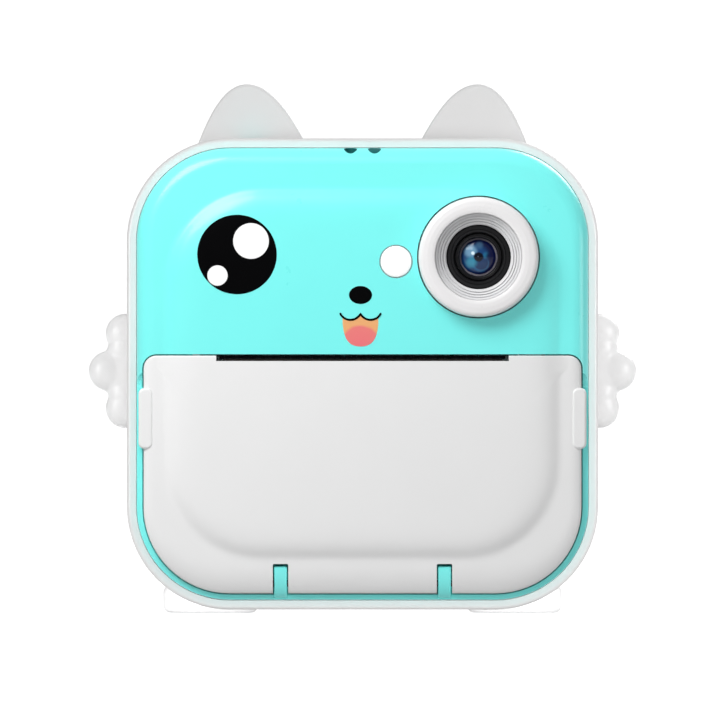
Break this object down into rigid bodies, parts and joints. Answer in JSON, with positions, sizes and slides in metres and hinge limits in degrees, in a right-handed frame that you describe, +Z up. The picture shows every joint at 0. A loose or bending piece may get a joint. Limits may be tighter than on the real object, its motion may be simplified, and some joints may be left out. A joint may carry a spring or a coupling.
{
  "type": "kids instant print camera",
  "caption": "Square aqua and white camera with ears, wings and feet, a drop-down paper door, a thermal printer with its paper roll, a lens, a rear screen and press keys.",
  "frame": {"origin": "middle of the footprint, on the plane the feet stand on", "axes": "+Z up, the lens and the paper door face -Y, +X is the lens side"},
  "size_m": [0.11, 0.052, 0.1061],
  "materials": {
    "aqua_plastic": "smooth gloss",
    "white_plastic": "smooth gloss",
    "grey_plastic": "satin",
    "black_plastic": "satin",
    "screen_black": "polished",
    "lens_glass": "coated",
    "steel": "satin",
    "aluminium": "satin",
    "ceramic": "glazed",
    "rubber": "matte",
    "circuit_board": "solder-mask satin",
    "battery_pouch": "foil satin",
    "paper": "matte",
    "card": "matte",
    "gear_plastic": "satin"
  },
  "bodies": {
    "camera": {"front_cover": "aqua_plastic", "paper_bay": "aqua_plastic", "rear_shell": "white_plastic", "lens_bezel": "white_plastic", "flash_window": "white_plastic", "wing_left": "white_plastic", "wing_right": "white_plastic", "foot_left": "white_plastic", "foot_right": "white_plastic", "ear_left": "grey_plastic", "ear_right": "grey_plastic", "tear_bar": "black_plastic", "lens_barrel": "black_plastic", "lens_retaining_ring": "black_plastic", "camera_holder": "black_plastic", "lcd_panel": "black_plastic", "speaker": "black_plastic", "microphone": "black_plastic", "screen_window": "screen_black", "lens_front_glass": "lens_glass", "lens_inner_glass": "lens_glass", "case_screw_1": "steel", "case_screw_2": "steel", "case_screw_3": "steel", "case_screw_4": "steel", "hinge_pin_left": "steel", "hinge_pin_right": "steel", "stepper_motor": "steel", "usb_socket": "steel", "card_socket": "steel", "printer_frame": "steel", "head_spring_left": "steel", "head_spring_right": "steel", "main_board": "circuit_board", "button_board": "circuit_board", "port_board": "circuit_board", "camera_board": "circuit_board", "flash_led_board": "circuit_board", "battery": "battery_pouch"},
    "door": {"paper_door": "white_plastic"},
    "platen": {"platen_roller": "rubber", "platen_shaft": "steel", "platen_gear": "gear_plastic"},
    "roll": {"paper_roll": "paper", "paper_core": "card"},
    "reduction": {"reduction_gear": "gear_plastic"},
    "pinion": {"motor_pinion": "gear_plastic", "motor_shaft": "steel"},
    "head": {"print_head": "ceramic", "head_heatsink": "aluminium"},
    "key_ok": {"key_ok": "aqua_plastic"},
    "key_up": {"key_up": "white_plastic"},
    "key_down": {"key_down": "white_plastic"},
    "key_left": {"key_left": "white_plastic"},
    "key_right": {"key_right": "white_plastic"},
    "key_menu": {"key_menu": "aqua_plastic"},
    "key_print": {"key_print": "aqua_plastic"},
    "shutter_button": {"shutter_button": "aqua_plastic"},
    "power_button": {"power_button": "aqua_plastic"}
  },
  "joints": [
    {"name": "door_hinge", "type": "hinge", "parent": "camera", "child": "door", "pos_m": [0, -0.0186, 0.006], "axis": [1, 0, 0], "range_deg": [0, 90]},
    {"name": "roll_spin", "type": "hinge", "parent": "camera", "child": "roll", "pos_m": [0, -0.0026, 0.0236], "axis": [1, 0, 0], "continuous": true},
    {"name": "platen_spin", "type": "hinge", "parent": "door", "child": "platen", "pos_m": [0, -0.013, 0.046], "axis": [1, 0, 0], "continuous": true},
    {"name": "reduction_spin", "type": "hinge", "parent": "camera", "child": "reduction", "pos_m": [0.0344, -0.0055, 0.046], "axis": [1, 0, 0], "continuous": true},
    {"name": "pinion_spin", "type": "hinge", "parent": "camera", "child": "pinion", "pos_m": [0.0368, 0.0031, 0.05111], "axis": [1, 0, 0], "continuous": true},
    {"name": "head_tilt", "type": "hinge", "parent": "camera", "child": "head", "pos_m": [0, -0.006, 0.0426], "axis": [1, 0, 0], "range_deg": [-3, 0], "stiffness_Nm_per_rad": 0.05, "springref_deg": 5.73},
    {"name": "key_ok_press", "type": "slide", "parent": "camera", "child": "key_ok", "axis": [0, -1, 0], "range_m": [0, 0.0007], "stiffness_N_per_m": 300, "springref_m": -0.001},
    {"name": "key_up_press", "type": "slide", "parent": "camera", "child": "key_up", "axis": [0, -1, 0], "range_m": [0, 0.0007], "stiffness_N_per_m": 300, "springref_m": -0.001},
    {"name": "key_down_press", "type": "slide", "parent": "camera", "child": "key_down", "axis": [0, -1, 0], "range_m": [0, 0.0007], "stiffness_N_per_m": 300, "springref_m": -0.001},
    {"name": "key_left_press", "type": "slide", "parent": "camera", "child": "key_left", "axis": [0, -1, 0], "range_m": [0, 0.0007], "stiffness_N_per_m": 300, "springref_m": -0.001},
    {"name": "key_right_press", "type": "slide", "parent": "camera", "child": "key_right", "axis": [0, -1, 0], "range_m": [0, 0.0007], "stiffness_N_per_m": 300, "springref_m": -0.001},
    {"name": "key_menu_press", "type": "slide", "parent": "camera", "child": "key_menu", "axis": [0, -1, 0], "range_m": [0, 0.0007], "stiffness_N_per_m": 300, "springref_m": -0.001},
    {"name": "key_print_press", "type": "slide", "parent": "camera", "child": "key_print", "axis": [0, -1, 0], "range_m": [0, 0.0007], "stiffness_N_per_m": 300, "springref_m": -0.001},
    {"name": "shutter_press", "type": "slide", "parent": "camera", "child": "shutter_button", "axis": [0, 0, -1], "range_m": [0, 0.001], "stiffness_N_per_m": 400, "springref_m": -0.0015},
    {"name": "power_press", "type": "slide", "parent": "camera", "child": "power_button", "axis": [0, 0, -1], "range_m": [0, 0.0007], "stiffness_N_per_m": 300, "springref_m": -0.0015}
  ],
  "couplings": [
    {"joint": "platen_spin", "follows": "roll_spin", "ratio": 3.4419},
    {"joint": "reduction_spin", "follows": "roll_spin", "ratio": -5.1628},
    {"joint": "pinion_spin", "follows": "roll_spin", "ratio": 12.047}
  ]
}
